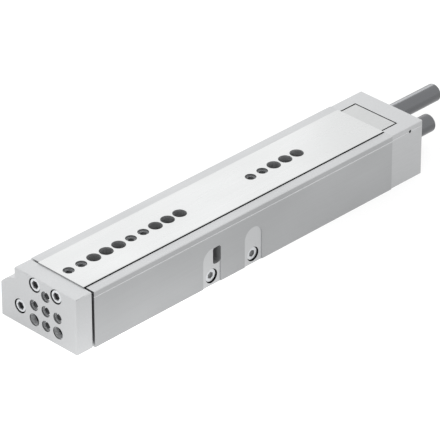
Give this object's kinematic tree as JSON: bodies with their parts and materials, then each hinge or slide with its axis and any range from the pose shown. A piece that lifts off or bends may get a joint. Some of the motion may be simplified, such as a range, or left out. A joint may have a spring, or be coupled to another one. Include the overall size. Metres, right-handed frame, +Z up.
{
  "type": "pneumatic slide table",
  "caption": "Compact pneumatic slide table: ball-guided slide and yoke plate on a flanged cylinder housing, with a hydraulic shock absorber for each end of the stroke.",
  "frame": {"origin": "centre of the row of base screws, on the base face and on the slide's centre line", "axes": "+Z up from the base, +Y along the slide to the rear cover and the absorbers, +X to the side with the plugged ports; the slide extends towards -Y"},
  "size_m": [0.0652, 0.3593, 0.0388],
  "materials": {
    "anodised_aluminium": "clear anodised, satin",
    "machined_aluminium": "milled, bare",
    "ground_steel": "hardened and ground",
    "race_steel": "hardened and ground",
    "bright_zinc_steel": "bright zinc plated",
    "burnished_steel": "burnished dark, smooth",
    "tool_steel": "hardened, blued",
    "hard_chrome": "hard chromed and ground",
    "bearing_steel": "polished balls",
    "bearing_bronze": "sintered",
    "cage_brass": "drilled strip",
    "seal_rubber": "nitrile, moulded",
    "seal_polyurethane": "polyurethane, moulded",
    "acetal": "turned acetal",
    "magnet": "plastic-bonded ferrite"
  },
  "bodies": {
    "housing": {"housing": "anodised_aluminium", "rear_cover": "anodised_aluminium", "cover_screws": "bright_zinc_steel", "cover_pin": "tool_steel", "cover_seal": "seal_rubber", "race_left": "race_steel", "race_right": "race_steel", "rod_bearing": "bearing_bronze", "rod_seal": "seal_polyurethane", "rod_wiper": "seal_polyurethane", "bearing_circlip": "tool_steel", "front_bumper": "seal_polyurethane", "channel_plugs": "tool_steel", "port_plugs": "bright_zinc_steel", "port_plug_seals": "seal_rubber", "forward_stop": "tool_steel", "stop_screws": "tool_steel", "return_absorber_body": "burnished_steel", "return_absorber_gland": "machined_aluminium", "return_absorber_nut": "burnished_steel", "return_absorber_seal": "seal_rubber"},
    "carriage": {"yoke_plate": "anodised_aluminium", "slide": "ground_steel", "yoke_dowels": "bearing_steel", "slide_screws": "bright_zinc_steel", "rod_screw": "bright_zinc_steel", "absorber_bracket": "machined_aluminium", "bracket_screws": "tool_steel", "piston_rod": "hard_chrome", "piston": "machined_aluminium", "piston_seals": "seal_polyurethane", "piston_magnet": "magnet", "piston_guide_ring": "acetal", "piston_nut": "bright_zinc_steel", "forward_absorber_body": "burnished_steel", "forward_absorber_gland": "machined_aluminium", "forward_absorber_nut": "burnished_steel"},
    "return_plunger": {"return_absorber_plunger": "hard_chrome", "return_absorber_cap": "acetal"},
    "forward_plunger": {"forward_absorber_plunger": "hard_chrome", "forward_absorber_cap": "acetal"},
    "ball_cage": {"cage_left": "cage_brass", "cage_right": "cage_brass", "balls_left": "bearing_steel", "balls_right": "bearing_steel"}
  },
  "joints": [
    {"name": "slide_travel", "type": "slide", "parent": "housing", "child": "carriage", "axis": [0, -1, 0], "range_m": [0, 0.15]},
    {"name": "cage_travel", "type": "slide", "parent": "housing", "child": "ball_cage", "axis": [0, -1, 0], "range_m": [0, 0.075]},
    {"name": "return_plunger_travel", "type": "slide", "parent": "housing", "child": "return_plunger", "axis": [0, -1, 0], "range_m": [0, 0.007]},
    {"name": "forward_plunger_travel", "type": "slide", "parent": "carriage", "child": "forward_plunger", "axis": [0, 1, 0], "range_m": [0, 0.007]}
  ],
  "couplings": [
    {"joint": "cage_travel", "follows": "slide_travel", "ratio": 0.5},
    {"joint": "return_plunger_travel", "follows": "slide_travel", "ratio": 0.04666},
    {"joint": "forward_plunger_travel", "follows": "slide_travel", "ratio": 0.04666}
  ]
}
